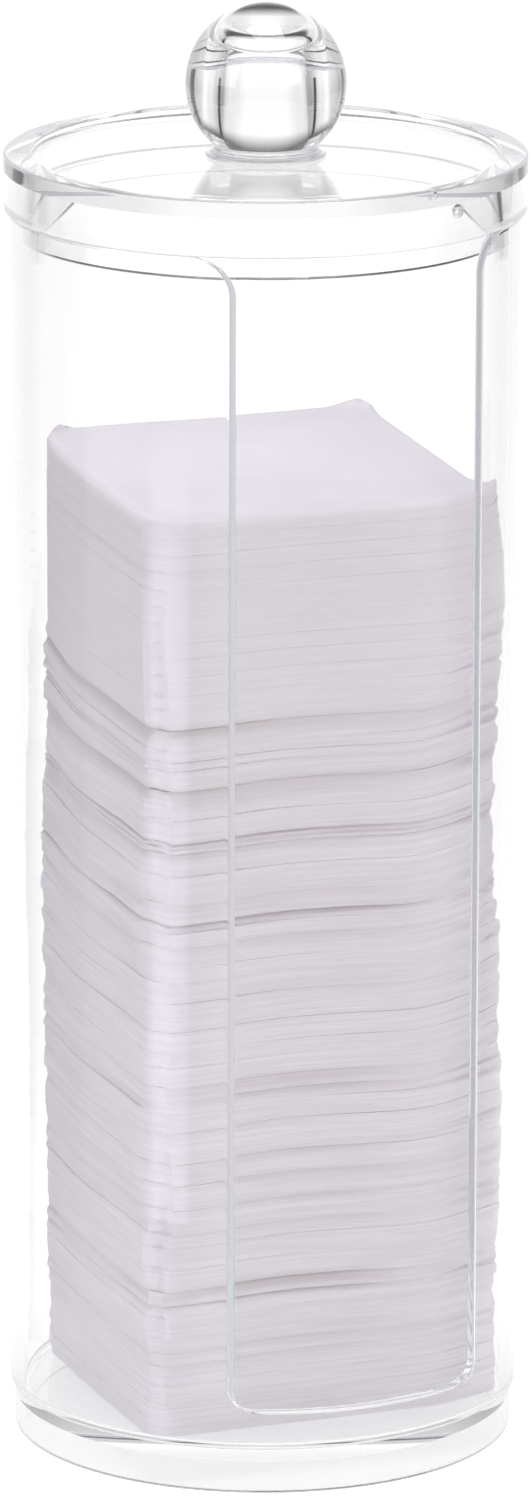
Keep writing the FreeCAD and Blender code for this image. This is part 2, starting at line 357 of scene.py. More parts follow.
# the point just inside the round keeps the shading of the flat underside flat
knob_profile = [(0, knob_base), (ring_turn - 0.05, knob_base)]
knob_profile += arc(ring_turn, knob_base + RING_ROUND, RING_ROUND, -90, 0, 3)
knob_profile += arc(ring_turn, RING_TOP - RING_ROUND, RING_ROUND, 0, 90, 3)
knob_profile += arc(blend_radius, blend_height, RING_BLEND, 270, 180 - lean, 10)
knob_profile += arc(0, BALL_HEIGHT, BALL_RADIUS, -lean, 90, 60)[1:-1]
knob_profile += [(0, BALL_HEIGHT + BALL_RADIUS)]
core_profile = [(0, CORE_TOP), (2.0, CORE_TOP)]
core_profile += arc(CORE_RADIUS - CORE_ROUND, CORE_TOP - CORE_ROUND, CORE_ROUND, 90, 0, 14)
core_profile += [(CORE_RADIUS, 206)]
core_profile += arc(CORE_RADIUS - SPIGOT_ROUND, CORE_BOTTOM + SPIGOT_ROUND, SPIGOT_ROUND,
                    0, -90, 4) + [(0, CORE_BOTTOM)]
ball_form = bmesh.new()
ball_form.from_mesh(lathe("clear_ball", knob_profile))
core = lathe("core", core_profile)
core.flip_normals()
ball_form.from_mesh(core)
mesh = bpy.data.meshes.new("clear_ball")
ball_form.to_mesh(mesh)
ball_form.free()
clear_ball = show("clear_ball", mesh, acrylic)
smooth(clear_ball.data, 35)
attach(clear_ball, "lid")
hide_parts("ball_knob")


# ---------------------------------------------------------------------------
# Cotton pads: pads cut from bonded cotton wool in fine layers, stacked by hand a few
# degrees askew.  They are a little larger than the bore allows, so their corners curl
# up along the wall, and the stack below is pressed into uneven waves.
PADS, PAD_THICK, PAD_HALF = 54, 2.6, (27.5, 26.0)
# from the first of these places in the stack, counted in pads, up to the second one
# the wool changes to that of a packet just put in
FRESH_START, FRESH_END = 41.5, 43.0
# how far the stack stands open above a pad, 0 to 1, counted from the floor
OPEN_ABOVE = {4: 0.25, 5: 0.3, 8: 0.75, 9: 0.85, 12: 0.2, 14: 0.45, 15: 0.35, 16: 0.5, 18: 0.25,
              20: 0.45, 21: 0.5, 24: 0.2, 26: 0.15, 29: 0.35, 31: 0.9, 32: 0.3, 34: 0.6,
              35: 0.35, 36: 0.6, 38: 0.9, 39: 0.3, 40: 0.25, 42: 1.0, 51: 0.12}


def pad_blank():
    """A plain pad with its height as a 0 to 1 share in Z: a grid on both faces and
    square, finely layered edges."""
    across, along = 36, 34
    edge_rows = 12
    form = bmesh.new()
    rows = [[] for share in range(edge_rows + 1)]
    border = [(i, 0) for i in range(across)] + [(across, j) for j in range(along)]
    border += [(i, along) for i in range(across, 0, -1)] + [(0, j) for j in range(along, 0, -1)]

    def place(i, j, share):
        return form.verts.new(((2 * i / across - 1) * PAD_HALF[0],
                               (2 * j / along - 1) * PAD_HALF[1], share))

    for row in (0, edge_rows):
        grid = {(i, j): place(i, j, row / edge_rows)
                for i in range(across + 1) for j in range(along + 1)}
        for i in range(across):
            for j in range(along):
                form.faces.new((grid[i, j], grid[i + 1, j], grid[i + 1, j + 1], grid[i, j + 1]))
        rows[row] = [grid[key] for key in border]
    for row in range(1, edge_rows):
        rows[row] = [place(i, j, row / edge_rows) for i, j in border]
    for low, high in zip(rows, rows[1:]):
        for first in range(len(border)):
            after = (first + 1) % len(border)
            form.faces.new((low[first], low[after], high[after], high[first]))
    bmesh.ops.recalc_face_normals(form, faces=form.faces)
    mesh = bpy.data.meshes.new("pad_blank")
    form.to_mesh(mesh)
    form.free()
    return mesh


# Cotton wool bonded in fine layers and cut through at the edges: dull, with a faint
# sheen of loose fibres, and paler and darker streaks about 0.3 mm high and 17 mm long.
# The fibres are drawn 1.1 by 0.3 mm, coarser than real ones, so that they show.
STREAKS_PER_METRE, STREAKS_PER_PAD = 60, 9
FIBRES_PER_METRE = (900, 3600, 3600)
cotton = bpy.data.materials.new("cotton_wool_bonded")
cotton.use_nodes = True
tree = cotton.node_tree
tree.nodes.clear()
place = add(tree, "ShaderNodeTexCoord").outputs["Object"]
layer = add(tree, "ShaderNodeAttribute", attribute_name="layer").outputs["Fac"]
spread = add(tree, "ShaderNodeVectorMath", {
    0: place, 1: (STREAKS_PER_METRE, STREAKS_PER_METRE, 0)}, operation="MULTIPLY")
height = add(tree, "ShaderNodeCombineXYZ", {"Z": layer})
along_layers = add(tree, "ShaderNodeVectorMath", {0: spread, 1: height})
fine_layers = add(tree, "ShaderNodeTexNoise", {
    "Vector": add(tree, "ShaderNodeVectorMath", {
        0: along_layers, 1: (1, 1, STREAKS_PER_PAD)}, operation="MULTIPLY"),
    "Scale": 1.0, "Detail": 3.0, "Roughness": 0.6})
fibres = add(tree, "ShaderNodeTexNoise", {
    "Vector": add(tree, "ShaderNodeVectorMath", {0: place, 1: FIBRES_PER_METRE},
                  operation="MULTIPLY"),
    "Scale": 1.0, "Detail": 2.0, "Roughness": 0.6})
calm = add(tree, "ShaderNodeMapRange", {
    "Value": layer, "From Min": FRESH_START, "From Max": FRESH_END,
    "To Min": 0.75, "To Max": 0.35})
streaks = add(tree, "ShaderNodeMath", {0: fine_layers, 1: 0.5}, operation="SUBTRACT")
streaks = add(tree, "ShaderNodeMath", {0: streaks, 1: calm, 2: 0.5},
              operation="MULTIPLY_ADD")
tone = add(tree, "ShaderNodeValToRGB", {0: streaks},
           stops=((0.3, linear("#E6DFE6")), (0.7, linear("#F5F0F6"))))
# painted shade: where the stack stands open, the wool's colour is mixed towards a dark
# beige-grey, #C4BFB8, as the shade under the overhanging pads
painted_gap_shade = add(tree, "ShaderNodeAttribute", attribute_name="painted_gap_shade").outputs["Fac"]
painted_gap_shade = add(tree, "ShaderNodeMath", {0: painted_gap_shade, 1: 0.45}, operation="MULTIPLY")
tone_with_painted_shade = add(tree, "ShaderNodeMix", {"Factor": painted_gap_shade, 6: tone, 7: linear("#C4BFB8")},
             data_type="RGBA").outputs[2]
relief = add(tree, "ShaderNodeMath", {0: fine_layers, 1: fibres}, operation="ADD")
bump = add(tree, "ShaderNodeBump", {"Strength": 0.18, "Distance": 0.0003,
                                    "Height": relief})
wool = add(tree, "ShaderNodeBsdfPrincipled", {
    "Base Color": tone_with_painted_shade, "Roughness": 0.95, "Sheen Weight": 0.25,
    "Sheen Roughness": 0.6, "Specular IOR Level": 0.15, "Normal": bump})
add(tree, "ShaderNodeOutputMaterial", {"Surface": wool})


def pad_tree():
    """Geometry nodes that place pads of the stack: each point of the blank is turned,
    shifted, held inside the bore and raised to the height of its layer."""
    tree = bpy.data.node_groups.new("stacked_pads", "GeometryNodeTree")
    face = tree.interface
    face.new_socket("Geometry", in_out="INPUT", socket_type="NodeSocketGeometry")
    face.new_socket("Geometry", in_out="OUTPUT", socket_type="NodeSocketGeometry")
    for name, kind, value in (
            ("First Pad", "NodeSocketInt", 0), ("Pads", "NodeSocketInt", 1),
            ("Pad Thickness", "NodeSocketFloat", PAD_THICK),
            ("Floor Height", "NodeSocketFloat", FLOOR_TOP + 0.05),
            ("Bore Limit", "NodeSocketFloat", 36.25),
            ("Stack Turn", "NodeSocketFloat", math.radians(-3)),
            ("Set Back", "NodeSocketFloat", 1.0),
            ("Corner Curl", "NodeSocketFloat", 3.0),
            ("Corner Slide", "NodeSocketFloat", math.radians(11)),
            ("Back Rise", "NodeSocketFloat", 3.4),
            ("Wave Height", "NodeSocketFloat", 3.0),
            ("Open Below", "NodeSocketFloat", 0.0),
            ("Open Above", "NodeSocketFloat", 0.0),
            ("Gap Height", "NodeSocketFloat", 0.03),
            ("Seed", "NodeSocketInt", 7)):
        face.new_socket(name, in_out="INPUT", socket_type=kind).default_value = value
    given = add(tree, "NodeGroupInput").outputs

    points = add(tree, "GeometryNodePoints", {"Count": given["Pads"]})
    number = add(tree, "ShaderNodeMath", {0: add(tree, "GeometryNodeInputIndex"),
                                          1: given["First Pad"]}, operation="ADD")
    marked = add(tree, "GeometryNodeStoreNamedAttribute", {
        "Geometry": points, "Name": "pad", "Value": number}, data_type="FLOAT")
    copies = add(tree, "GeometryNodeInstanceOnPoints", {
        "Points": marked, "Instance": given["Geometry"]})
    real = add(tree, "GeometryNodeRealizeInstances", {"Geometry": copies})

    pad = add(tree, "GeometryNodeInputNamedAttribute", {"Name": "pad"}, data_type="FLOAT")
    start = add(tree, "ShaderNodeSeparateXYZ", {0: add(tree, "GeometryNodeInputPosition")})
    start = start.outputs
    flat = add(tree, "ShaderNodeCombineXYZ", {"X": start["X"], "Y": start["Y"]})

    # how near the pad's edge the point is, in millimetres inwards
    size = add(tree, "ShaderNodeVectorMath", {0: flat}, operation="ABSOLUTE")
    size = add(tree, "ShaderNodeVectorMath", {0: PAD_HALF + (0,), 1: size},
               operation="SUBTRACT")
    size = add(tree, "ShaderNodeSeparateXYZ", {0: size}).outputs
    inwards = add(tree, "ShaderNodeMath", {0: size["X"], 1: size["Y"]}, operation="MINIMUM")
    edge = add(tree, "ShaderNodeMapRange", {
        "Value": inwards, "From Min": 0.0, "From Max": 5.0, "To Min": 1.0, "To Max": 0.0},
        interpolation_type="SMOOTHERSTEP")

    # gap below and above the pad: most pads cling, a few stand open along part of
    # their edge
    gaps = []
    for step, side in ((0, "Open Below"), (1, "Open Above")):
        which = add(tree, "ShaderNodeMath", {0: pad, 1: step}, operation="ADD")
        which = add(tree, "ShaderNodeMath", {0: which, 1: 0.83}, operation="MULTIPLY")
        along = add(tree, "ShaderNodeTexNoise", {
            "Vector": flat, "W": which, "Scale": 0.03, "Detail": 0.0}, noise_dimensions="4D")
        along = add(tree, "ShaderNodeMapRange", {
            "Value": along, "From Min": 0.35, "From Max": 0.55, "To Min": 0.3, "To Max": 1.0})
        opened = add(tree, "ShaderNodeMath", {0: given[side], 1: along},
                     operation="MULTIPLY")
        gaps.append(add(tree, "ShaderNodeMath", {0: opened, 1: edge}, operation="MULTIPLY"))
    lowest = add(tree, "ShaderNodeMath", {0: gaps[0], 1: given["Gap Height"], 2: 0.004},
                 operation="MULTIPLY_ADD")
    highest = add(tree, "ShaderNodeMath", {0: gaps[1], 1: given["Gap Height"]},
                  operation="MULTIPLY")
    highest = add(tree, "ShaderNodeMath", {0: 0.996, 1: highest}, operation="SUBTRACT")
    share = add(tree, "ShaderNodeMapRange", {"Value": start["Z"], "To Min": lowest,
                                             "To Max": highest})
    layer = add(tree, "ShaderNodeMath", {0: pad, 1: share}, operation="ADD")
    fresh = add(tree, "ShaderNodeMapRange", {
        "Value": layer, "From Min": FRESH_START, "From Max": FRESH_END, "To Min": 0.0,
        "To Max": 1.0})

    # outline: the pad under a gap draws back, every fine layer sits a little in or
    # out, and the top pad's upper edge is soft
    under = add(tree, "ShaderNodeMath", {0: start["Z"], 1: 1.8}, operation="POWER")
    under = add(tree, "ShaderNodeMath", {0: under, 1: gaps[1]}, operation="MULTIPLY")
    over = add(tree, "ShaderNodeMath", {0: 1.0, 1: start["Z"]}, operation="SUBTRACT")
    over = add(tree, "ShaderNodeMath", {0: over, 1: 6.0}, operation="POWER")
    over = add(tree, "ShaderNodeMath", {0: over, 1: gaps[0]}, operation="MULTIPLY")
    inset = add(tree, "ShaderNodeMath", {0: over, 1: 0.3}, operation="MULTIPLY")
    inset = add(tree, "ShaderNodeMath", {0: under, 1: 1.6, 2: inset},
                operation="MULTIPLY_ADD")
    fine = add(tree, "ShaderNodeTexNoise", {
        "Vector": add(tree, "ShaderNodeVectorMath", {0: flat, "Scale": 0.35},
                      operation="SCALE"),
        "W": add(tree, "ShaderNodeMath", {0: layer, 1: 4.7}, operation="MULTIPLY"),
        "Scale": 0.12, "Detail": 2.0, "Roughness": 0.7}, noise_dimensions="4D")
    fine = add(tree, "ShaderNodeMapRange", {
        "Value": fine, "From Min": 0.3, "From Max": 0.7, "To Min": 0.0, "To Max": 1.0})
    rough = add(tree, "ShaderNodeMath", {0: fresh, 1: -0.26, 2: 0.4},
                operation="MULTIPLY_ADD")
    inset = add(tree, "ShaderNodeMath", {0: fine, 1: rough, 2: inset},
                operation="MULTIPLY_ADD")
    brow = add(tree, "ShaderNodeMapRange", {
        "Value": layer, "From Min": 53.3, "From Max": 54.0, "To Min": 0.0, "To Max": 1.0})
    brow = add(tree, "ShaderNodeMath", {0: brow, 1: brow}, operation="MULTIPLY")
    brow = add(tree, "ShaderNodeMath", {0: 1.0, 1: brow}, operation="SUBTRACT")
    brow = add(tree, "ShaderNodeMath", {0: brow}, operation="SQRT")
    brow = add(tree, "ShaderNodeMath", {0: 1.0, 1: brow}, operation="SUBTRACT")
    inset = add(tree, "ShaderNodeMath", {0: brow, 1: 1.8, 2: inset},
                operation="MULTIPLY_ADD")
    near = add(tree, "ShaderNodeMapRange", {
        "Value": inwards, "From Min": 0.0, "From Max": 4.0, "To Min": 1.0, "To Max": 0.0})
    reach = add(tree, "ShaderNodeVectorMath", {0: flat}, operation="LENGTH").outputs["Value"]
    drawn = add(tree, "ShaderNodeMath", {0: inset, 1: near}, operation="MULTIPLY")
    drawn = add(tree, "ShaderNodeMath", {0: drawn, 1: reach}, operation="DIVIDE")
    drawn = add(tree, "ShaderNodeMath", {0: 1.0, 1: drawn}, operation="SUBTRACT")
    drawn = add(tree, "ShaderNodeVectorMath", {0: flat, "Scale": drawn}, operation="SCALE")

    # the stack's turn, and the pad's own small turn and shift, less in the fresh block
    chance = add(tree, "FunctionNodeRandomValue", {
        0: (-0.012, -0.3, -0.3), 1: (0.012, 0.3, 0.3),
        "ID": pad, "Seed": given["Seed"]}, data_type="FLOAT_VECTOR")
    loose = add(tree, "ShaderNodeMath", {0: fresh, 1: -0.75, 2: 1.0},
                operation="MULTIPLY_ADD")
    chance = add(tree, "ShaderNodeVectorMath", {0: chance, "Scale": loose},
                 operation="SCALE")
    chance = add(tree, "ShaderNodeSeparateXYZ", {0: chance}).outputs
    turned = add(tree, "ShaderNodeVectorRotate", {
        "Vector": drawn,
        "Angle": add(tree, "ShaderNodeMath", {0: given["Stack Turn"], 1: chance["X"]},
                     operation="ADD")}, rotation_type="Z_AXIS")
    shift = add(tree, "ShaderNodeCombineXYZ", {
        "X": chance["Y"],
        "Y": add(tree, "ShaderNodeMath", {0: chance["Z"], 1: given["Set Back"]},
                 operation="ADD")})
    moved = add(tree, "ShaderNodeVectorMath", {0: turned, 1: shift}, operation="ADD")

    # the wall holds the corners, each at its own depth
    reach = add(tree, "ShaderNodeVectorMath", {0: moved}, operation="LENGTH").outputs["Value"]
    limit = given["Bore Limit"]
    for count, speed, detail, low, high, depth in ((layer, 0.33, 3.0, 0.4, 0.75, 2.6),
                                                   (pad, 1.31, 0.0, 0.45, 0.7, 2.0)):
        worn = add(tree, "ShaderNodeTexNoise", {
            "Vector": moved,
            "W": add(tree, "ShaderNodeMath", {0: count, 1: speed}, operation="MULTIPLY"),
            "Scale": 0.06, "Detail": detail, "Roughness": 0.65}, noise_dimensions="4D")
        worn = add(tree, "ShaderNodeMapRange", {
            "Value": worn, "From Min": low, "From Max": high, "To Min": 0.0,
            "To Max": depth})
        limit = add(tree, "ShaderNodeMath", {0: limit, 1: worn}, operation="SUBTRACT")
    back_left = add(tree, "ShaderNodeVectorMath", {0: moved, 1: (-0.69, 0.724, 0)},
                    operation="DOT_PRODUCT").outputs["Value"]
    back_left = add(tree, "ShaderNodeMapRange", {
        "Value": back_left, "From Min": 29.0, "From Max": 36.5, "To Min": 0.0,
        "To Max": 1.0}, interpolation_type="SMOOTHSTEP")
    short = add(tree, "ShaderNodeMath", {0: back_left, 1: fresh}, operation="MULTIPLY")
    limit = add(tree, "ShaderNodeMath", {0: limit, 1: short}, operation="SUBTRACT")
    hold = add(tree, "ShaderNodeMath", {0: limit, 1: reach}, operation="DIVIDE")
    hold = add(tree, "ShaderNodeMath", {0: hold, 1: 1.0}, operation="MINIMUM")
    held = add(tree, "ShaderNodeVectorMath", {0: moved, "Scale": hold}, operation="SCALE")

    # the front right corners have slid along the wall, some further than others, and
    # so have the back left ones below the fresh block, by less
    corner = add(tree, "ShaderNodeVectorMath", {0: moved, 1: (0.7, -0.714, 0)},
                 operation="DOT_PRODUCT").outputs["Value"]
    corner = add(tree, "ShaderNodeMapRange", {
        "Value": corner, "From Min": 29.0, "From Max": 36.5, "To Min": 0.0, "To Max": 1.0},
        interpolation_type="SMOOTHSTEP")
    slid = add(tree, "ShaderNodeTexNoise", {
        "W": add(tree, "ShaderNodeMath", {0: layer, 1: 0.9}, operation="MULTIPLY"),
        "Scale": 1.0, "Detail": 1.0}, noise_dimensions="1D")
    slid = add(tree, "ShaderNodeMapRange", {
        "Value": slid, "From Min": 0.35, "From Max": 0.65, "To Min": 0.35, "To Max": 0.8})
    slid = add(tree, "ShaderNodeMath", {
        0: slid, 1: add(tree, "ShaderNodeMapRange", {
            "Value": layer, "From Min": 45.0, "From Max": 49.0, "To Min": 0.0,
            "To Max": 1.0})}, operation="MAXIMUM")
    short = add(tree, "ShaderNodeMath", {0: back_left, 1: short}, operation="SUBTRACT")
    corner = add(tree, "ShaderNodeMath", {0: short, 1: 0.4, 2: corner},
                 operation="MULTIPLY_ADD")
    slid = add(tree, "ShaderNodeMath", {0: slid, 1: corner}, operation="MULTIPLY")
    slid = add(tree, "ShaderNodeMath", {0: slid, 1: given["Corner Slide"]},
               operation="MULTIPLY")
    held = add(tree, "ShaderNodeVectorRotate", {"Vector": held, "Angle": slid},
               rotation_type="Z_AXIS")

    # height of the layer: uneven pressing, long waves, and the corners' curl
    settle = add(tree, "ShaderNodeMath", {
        0: add(tree, "ShaderNodeMapRange", {"Value": layer, "From Min": 0.0,
                                            "From Max": 8.0, "To Min": 0.0, "To Max": 1.0}),
        1: add(tree, "ShaderNodeMapRange", {"Value": layer, "From Min": 38.0,
                                            "From Max": 50.0, "To Min": 1.0,
                                            "To Max": 0.25})}, operation="MULTIPLY")
    pressing = add(tree, "ShaderNodeTexNoise", {
        "W": add(tree, "ShaderNodeMath", {0: layer, 1: 0.4}, operation="MULTIPLY"),
        "Scale": 1.0, "Detail": 0.0}, noise_dimensions="1D")
    wave = add(tree, "ShaderNodeTexNoise", {
        "Vector": flat,
        "W": add(tree, "ShaderNodeMath", {0: layer, 1: 0.11}, operation="MULTIPLY"),
        "Scale": 0.032, "Detail": 0.5}, noise_dimensions="4D")
    pressing = add(tree, "ShaderNodeMath", {0: pressing, 1: 0.5}, operation="SUBTRACT")
    pressing = add(tree, "ShaderNodeMath", {0: pressing, 1: settle}, operation="MULTIPLY")
    wave = add(tree, "ShaderNodeMath", {0: wave, 1: 0.5}, operation="SUBTRACT")
    wave = add(tree, "ShaderNodeMath", {0: wave, 1: settle}, operation="MULTIPLY")
    level = add(tree, "ShaderNodeMath", {0: pressing, 1: 1.6, 2: layer},
                operation="MULTIPLY_ADD")
    level = add(tree, "ShaderNodeMath", {0: level, 1: given["Pad Thickness"],
                                         2: given["Floor Height"]},
                operation="MULTIPLY_ADD")
    level = add(tree, "ShaderNodeMath", {0: wave, 1: given["Wave Height"], 2: level},
                operation="MULTIPLY_ADD")
    rise = add(tree, "ShaderNodeMapRange", {
        "Value": layer, "From Min": 0.0, "From Max": 54.0, "To Min": 0.1, "To Max": 1.0})
    back = add(tree, "ShaderNodeSeparateXYZ", {0: moved}).outputs["Y"]
    back = add(tree, "ShaderNodeMapRange", {
        "Value": back, "From Min": -26.0, "From Max": 27.0, "To Min": 0.0, "To Max": 1.0})
    back = add(tree, "ShaderNodeMath", {0: back, 1: rise}, operation="MULTIPLY")
    level = add(tree, "ShaderNodeMath", {0: back, 1: given["Back Rise"], 2: level},
                operation="MULTIPLY_ADD")
    front_left = add(tree, "ShaderNodeVectorMath", {0: moved, 1: (-0.74, -0.67, 0)},
                     operation="DOT_PRODUCT").outputs["Value"]
    upper = add(tree, "ShaderNodeMapRange", {
        "Value": layer, "From Min": 41.0, "From Max": 46.0, "To Min": 0.0, "To Max": 1.0})
    inner = add(tree, "ShaderNodeMath", {0: upper, 1: 6.0, 2: 27.0},
                operation="MULTIPLY_ADD")
    curl = add(tree, "ShaderNodeMapRange", {
        "Value": reach, "From Min": inner, "From Max": 37.0, "To Min": 0.0, "To Max": 1.0},
        interpolation_type="SMOOTHSTEP")
    curl = add(tree, "ShaderNodeMath", {
        0: curl, 1: add(tree, "ShaderNodeMapRange", {
            "Value": front_left, "From Min": 8.0, "From Max": 26.0, "To Min": 1.0,
            "To Max": 0.0})}, operation="MULTIPLY")
    less = add(tree, "ShaderNodeMath", {0: upper, 1: -0.6, 2: 1.0},
               operation="MULTIPLY_ADD")
    curl = add(tree, "ShaderNodeMath", {0: curl, 1: less}, operation="MULTIPLY")
    curl = add(tree, "ShaderNodeMath", {0: curl, 1: rise}, operation="MULTIPLY")
    level = add(tree, "ShaderNodeMath", {0: curl, 1: given["Corner Curl"], 2: level},
                operation="MULTIPLY_ADD")

    held = add(tree, "ShaderNodeSeparateXYZ", {0: held}).outputs
    final = add(tree, "ShaderNodeCombineXYZ", {"X": held["X"], "Y": held["Y"], "Z": level})
    final = add(tree, "ShaderNodeVectorMath", {0: final, "Scale": MM}, operation="SCALE")
    noted = add(tree, "GeometryNodeStoreNamedAttribute", {
        "Geometry": real, "Name": "layer", "Value": layer}, data_type="FLOAT")
    # painted shade mask: how far a point lies under or over an open gap, stored for the
    # material to darken
    painted_gap_shade = add(tree, "ShaderNodeMath", {0: under, 1: over}, operation="ADD")
    noted = add(tree, "GeometryNodeStoreNamedAttribute", {
        "Geometry": noted, "Name": "painted_gap_shade", "Value": painted_gap_shade}, data_type="FLOAT")
    raised = add(tree, "GeometryNodeSetPosition", {"Geometry": noted, "Position": final})
    dressed = add(tree, "GeometryNodeSetMaterial", {"Geometry": raised,
                                                    "Material": cotton})
    add(tree, "NodeGroupOutput", {"Geometry": dressed})
    return tree


stacking = pad_tree()
sockets = {item.name: item.identifier for item in stacking.interface.items_tree
           if item.in_out == "INPUT"}
blank = pad_blank()
for number in range(1, PADS + 1):
    pad = show("cotton_pad_%02d" % number, blank.copy(), cotton)
    nodes = pad.modifiers.new("stacked_pads", "NODES")
    nodes.node_group = stacking
    nodes[sockets["First Pad"]] = number - 1
    nodes[sockets["Open Below"]] = OPEN_ABOVE.get(number - 1, 0.0)
    nodes[sockets["Open Above"]] = OPEN_ABOVE.get(number, 0.0)
    keep_evaluated(pad)
    smooth(pad.data, 60)
    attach(pad, "top_pad" if number == PADS else "pad_stack")
    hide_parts("pad_%02d" % number)


# ---------------------------------------------------------------------------
# Studio: a plain white floor that takes the holder's shadow, light from all round
# that is dimmer high up, and a camera a little above the holder's middle.  Light
# caught in the clear walls needs many bounces before it comes out again.
bpy.context.scene.view_settings.view_transform = "Standard"
cycles = bpy.context.scene.cycles
cycles.max_bounces = cycles.transmission_bounces = 40
cycles.glossy_bounces = 24
# level directions from the holder towards the front of the studio and to its right
FORWARDS, RIGHTWARDS = (-0.419, -0.908, 0), (0.908, -0.419, 0)

# Floor: matt white for the light.  Polished surfaces see it as a white glow that is
# greyer to the sides and ahead, so that clear walls show their edges, and greyer under
# the foot as a painted shadow of the holder.  Ahead of the holder only mirrored rays
# see the grey sides, and the walls stay clear from behind.  The two distances, in
# metres from the axis, are the foot's edge and the end of the painted shadow under it.
FOOT_EDGE, FOOT_GREY_END = 0.036, 0.08
mesh = bpy.data.meshes.new("studio_floor")
form = bmesh.new()
bmesh.ops.create_grid(form, x_segments=1, y_segments=1, size=12)
form.to_mesh(mesh)
form.free()
floor_paint = bpy.data.materials.new("studio_floor_white")
floor_paint.use_nodes = True
tree = floor_paint.node_tree
tree.nodes.clear()
rays = add(tree, "ShaderNodeLightPath").outputs
seen = add(tree, "ShaderNodeMath", {0: rays["Is Camera Ray"], 1: rays["Is Glossy Ray"]},
           operation="MAXIMUM")
seen = add(tree, "ShaderNodeMath", {0: seen, 1: rays["Is Transmission Ray"]},
           operation="MAXIMUM")
mirrored = add(tree, "ShaderNodeMath", {0: rays["Is Glossy Ray"],
                                        1: rays["Is Transmission Ray"]},
               operation="SUBTRACT")
place = add(tree, "ShaderNodeTexCoord").outputs["Object"]
ahead = add(tree, "ShaderNodeVectorMath", {0: place, 1: FORWARDS},
            operation="DOT_PRODUCT").outputs["Value"]
behind = add(tree, "ShaderNodeMapRange", {"Value": ahead, "From Min": 0.0,
                                          "From Max": FOOT_GREY_END, "To Min": 1.0,
                                          "To Max": 0.0})
greyed = add(tree, "ShaderNodeMath", {0: behind, 1: mirrored}, operation="MAXIMUM")
ahead = add(tree, "ShaderNodeMapRange", {"Value": ahead, "From Min": FOOT_GREY_END,
                                         "From Max": 0.4, "To Min": 1.0, "To Max": 0.7})
away = add(tree, "ShaderNodeVectorMath", {0: place}, operation="LENGTH").outputs["Value"]
aside = add(tree, "ShaderNodeVectorMath", {0: place, 1: RIGHTWARDS},
            operation="DOT_PRODUCT").outputs["Value"]
aside = add(tree, "ShaderNodeMath", {0: aside}, operation="ABSOLUTE")
aside = add(tree, "ShaderNodeMath", {0: aside, 1: FOOT_EDGE}, operation="SUBTRACT")
aside = add(tree, "ShaderNodeMath", {0: aside, 1: 0.0}, operation="MAXIMUM")
aside = add(tree, "ShaderNodeMath", {0: aside, 1: away}, operation="DIVIDE")
aside = add(tree, "ShaderNodeMath", {0: aside, 1: greyed}, operation="MULTIPLY")
sides = add(tree, "ShaderNodeValToRGB", {0: aside}, stops=[
    (spot, (level, level, level, 1))
    for spot, level in ((0.15, 1.0), (0.27, 0.86), (0.56, 0.82), (0.9, 0.3))])
# painted shadow: polished surfaces see the floor's glow dimmed to 0.74 under the foot, fading
# out by FOOT_GREY_END
painted_shadow_under_foot = add(tree, "ShaderNodeMapRange", {"Value": away, "From Min": FOOT_EDGE,
                                              "From Max": FOOT_GREY_END, "To Min": 0.74,
                                              "To Max": 1.0})
level = add(tree, "ShaderNodeMath", {0: ahead, 1: sides}, operation="MULTIPLY")
level = add(tree, "ShaderNodeMath", {0: level, 1: painted_shadow_under_foot}, operation="MULTIPLY")
level = add(tree, "ShaderNodeMath", {0: level, 1: rays["Is Camera Ray"]},
            operation="MAXIMUM")
matt = add(tree, "ShaderNodeBsdfDiffuse", {"Color": linear("#F4F4F4")})
shaded = add(tree, "ShaderNodeBsdfDiffuse", {"Color": linear("#909090")})
glow = add(tree, "ShaderNodeEmission", {"Color": linear("#FFFFFF"), "Strength": level})
glowing = add(tree, "ShaderNodeAddShader", {0: shaded, 1: glow})
surface = add(tree, "ShaderNodeMixShader", {0: seen, 1: matt, 2: glowing})
add(tree, "ShaderNodeOutputMaterial", {"Surface": surface})
floor = show("studio_floor", mesh, floor_paint)

# World: plain white behind the holder.  Polished surfaces see it fade to grey at the
# sides and ahead, and to dark high up, in the same way as the floor.
world = bpy.data.worlds.new("studio_light")
bpy.context.scene.world = world
world.use_nodes = True
tree = world.node_tree
tree.nodes.clear()
rays = add(tree, "ShaderNodeLightPath").outputs
mirrored = add(tree, "ShaderNodeMath", {0: rays["Is Glossy Ray"],
                                        1: rays["Is Transmission Ray"]},
               operation="SUBTRACT")
direction = add(tree, "ShaderNodeTexCoord").outputs["Generated"]
height = add(tree, "ShaderNodeSeparateXYZ", {0: direction}).outputs["Z"]
ceiling = add(tree, "ShaderNodeMapRange", {"Value": height, "From Min": 0.26,
                                           "From Max": 0.46, "To Min": 1.08,
                                           "To Max": 0.12})
across = add(tree, "ShaderNodeVectorMath", {0: direction, 1: RIGHTWARDS},
             operation="DOT_PRODUCT").outputs["Value"]
across = add(tree, "ShaderNodeMath", {0: across}, operation="ABSOLUTE")
light = add(tree, "ShaderNodeMapRange", {"Value": across, "From Min": 0.4, "From Max": 0.9,
                                         "To Min": 1.0, "To Max": 0.3})
light = add(tree, "ShaderNodeMath", {0: ceiling, 1: light}, operation="MULTIPLY")
ahead = add(tree, "ShaderNodeVectorMath", {0: direction, 1: FORWARDS},
            operation="DOT_PRODUCT").outputs["Value"]
behind = add(tree, "ShaderNodeMapRange", {"Value": ahead, "From Min": 0.0, "From Max": 0.35,
                                          "To Min": 1.0, "To Max": 0.0})
greyed = add(tree, "ShaderNodeMath", {0: behind, 1: mirrored}, operation="MAXIMUM")
across = add(tree, "ShaderNodeMath", {0: across, 1: greyed}, operation="MULTIPLY")
